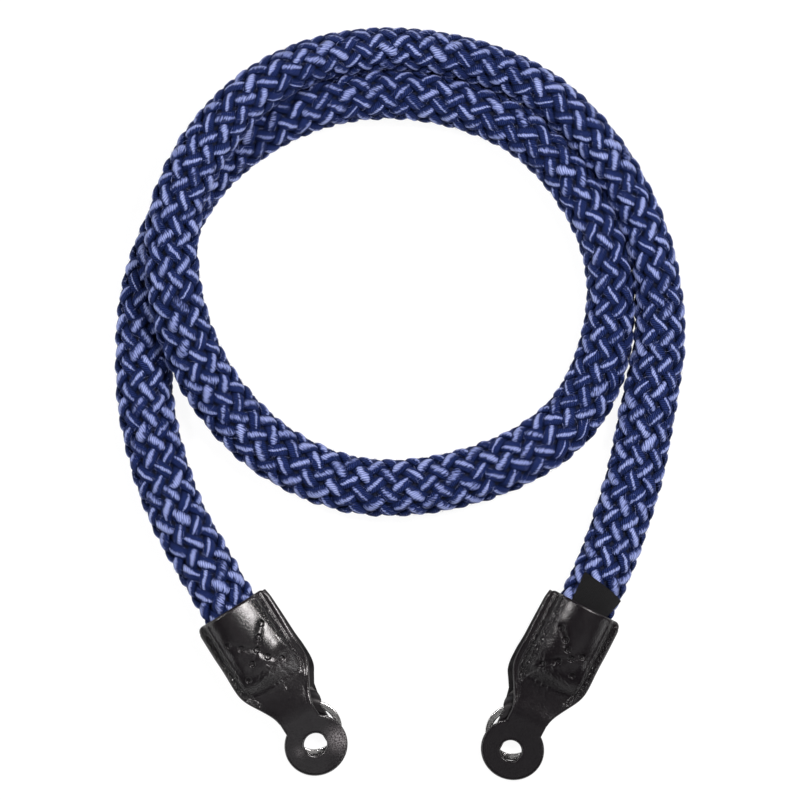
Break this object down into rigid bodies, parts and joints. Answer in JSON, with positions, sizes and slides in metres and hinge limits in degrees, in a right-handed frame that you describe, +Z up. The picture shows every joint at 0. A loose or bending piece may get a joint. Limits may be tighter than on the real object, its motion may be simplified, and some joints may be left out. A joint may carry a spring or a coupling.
{
  "type": "braided camera strap",
  "caption": "Thick braided camera strap lying in an overlapping coil, with sewn leather ends that each hold a split ring under a round holed tab.",
  "frame": {"origin": "middle of the strap's outline on the surface that it lies on", "axes": "+Z up from that surface, +Y from the free ends towards the far side of the coil, +X to the right, seen from above with the free ends nearest"},
  "size_m": [0.1827, 0.2414, 0.0274],
  "materials": {
    "braided_cord": "matte braid, navy with light blue flecks",
    "leather": "smooth black, low sheen",
    "ring_steel": "polished",
    "label_weave": "matte woven, plain"
  },
  "bodies": {
    "strap": {"braided_rope": "braided_cord", "leather_front_left": "leather", "leather_back_left": "leather", "leather_front_right": "leather", "leather_back_right": "leather", "woven_label": "label_weave"},
    "ring_left": {"split_ring_left": "ring_steel"},
    "ring_right": {"split_ring_right": "ring_steel"}
  },
  "joints": [
    {"name": "ring_left_turn", "type": "hinge", "parent": "strap", "child": "ring_left", "pos_m": [-0.02744, -0.10354, 0.00212], "axis": [0.0702, -0.1119, 0.9912], "continuous": true},
    {"name": "ring_right_turn", "type": "hinge", "parent": "strap", "child": "ring_right", "pos_m": [0.03608, -0.10493, 0.00212], "axis": [-0.0602, -0.1176, 0.9912], "continuous": true}
  ]
}
